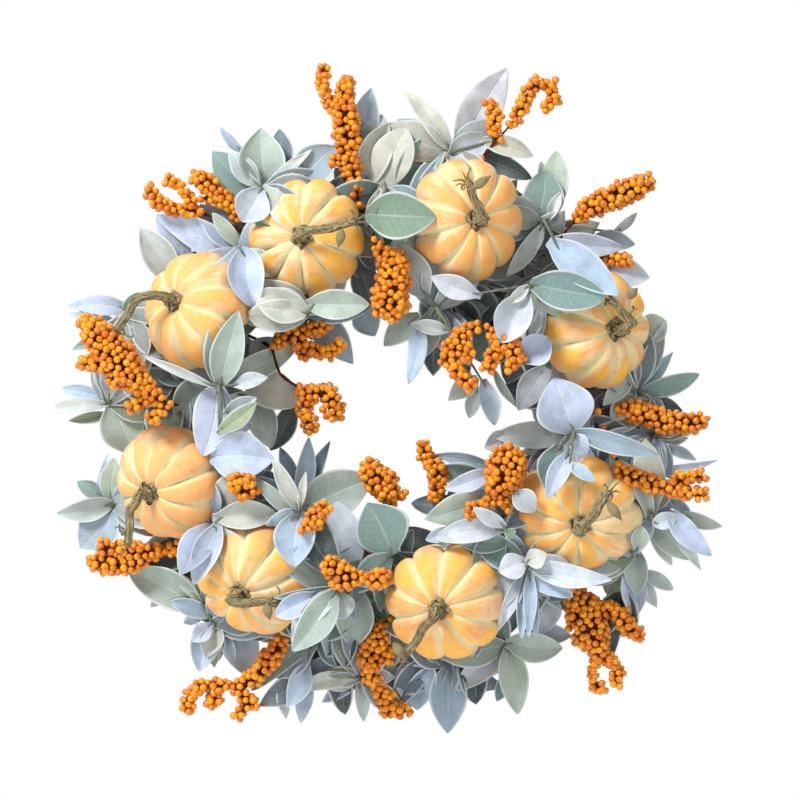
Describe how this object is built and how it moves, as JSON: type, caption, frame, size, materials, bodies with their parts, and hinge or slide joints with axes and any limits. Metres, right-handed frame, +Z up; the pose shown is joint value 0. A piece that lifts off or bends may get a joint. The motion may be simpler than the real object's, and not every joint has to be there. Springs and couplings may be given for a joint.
{
  "type": "harvest door wreath",
  "caption": "Door wreath: a twisted vine ring dressed with ribbed pumpkins, felt leaves and orange berry picks, hung from a hinged wire loop.",
  "frame": {"origin": "the hanging point: the inside top of the wire hanging loop", "axes": "+Z up, -Y out of the front of the wreath towards the viewer, +X to the viewer's right; the door is at +Y"},
  "size_m": [0.5024, 0.1367, 0.4982],
  "materials": {
    "vine": "rough dry bark",
    "wire": "dark annealed wire",
    "pumpkin": "soft satin skin, golden to orange",
    "dried_stem": "dry grooved fibre",
    "felt_leaf": "soft felt with pale fuzzy edges",
    "berry": "glossy berries on dark red-brown stems"
  },
  "bodies": {
    "root": {"berry_pick_bottom": "berry", "berry_pick_bottom_left": "berry", "berry_pick_inner_bottom": "berry", "berry_pick_inner_left": "berry", "berry_pick_inner_lower_left": "berry", "berry_pick_inner_lower_right": "berry", "berry_pick_inner_right": "berry", "berry_pick_inner_top": "berry", "berry_pick_left": "berry", "berry_pick_left_gap": "berry", "berry_pick_lower_left": "berry", "berry_pick_lower_right": "berry", "berry_pick_right": "berry", "berry_pick_right_low": "berry", "berry_pick_right_upper": "berry", "berry_pick_top": "berry", "berry_pick_top_right": "berry", "berry_pick_upper_left": "berry", "binding_tie_1": "wire", "binding_tie_2": "wire", "binding_tie_3": "wire", "leaf_spray_bottom": "felt_leaf", "leaf_spray_bottom_right": "felt_leaf", "leaf_spray_inner_bottom": "felt_leaf", "leaf_spray_inner_lower_right": "felt_leaf", "leaf_spray_inner_right": "felt_leaf", "leaf_spray_inner_top": "felt_leaf", "leaf_spray_left": "felt_leaf", "leaf_spray_left_gap": "felt_leaf", "leaf_spray_left_low": "felt_leaf", "leaf_spray_lower_gap": "felt_leaf", "leaf_spray_lower_left": "felt_leaf", "leaf_spray_lower_left_gap": "felt_leaf", "leaf_spray_lower_right": "felt_leaf", "leaf_spray_right": "felt_leaf", "leaf_spray_right_gap": "felt_leaf", "leaf_spray_top": "felt_leaf", "leaf_spray_upper_left": "felt_leaf", "leaf_spray_upper_right": "felt_leaf", "pumpkin_1": "pumpkin", "pumpkin_2": "pumpkin", "pumpkin_3": "pumpkin", "pumpkin_4": "pumpkin", "pumpkin_5": "pumpkin", "pumpkin_6": "pumpkin", "pumpkin_7": "pumpkin", "pumpkin_8": "pumpkin", "pumpkin_stem_1": "dried_stem", "pumpkin_stem_2": "dried_stem", "pumpkin_stem_3": "dried_stem", "pumpkin_stem_4": "dried_stem", "pumpkin_stem_5": "dried_stem", "pumpkin_stem_6": "dried_stem", "pumpkin_stem_7": "dried_stem", "pumpkin_stem_8": "dried_stem", "vine_strand_1": "vine", "vine_strand_2": "vine", "vine_strand_3": "vine", "vine_strand_4": "vine"},
    "loop": {"hanging_loop": "wire"}
  },
  "joints": [
    {"name": "hanging_loop_hinge", "type": "hinge", "parent": "root", "child": "loop", "pos_m": [0, 0, -0.0328], "axis": [-1, 0, 0], "range_deg": [0, 100]}
  ]
}
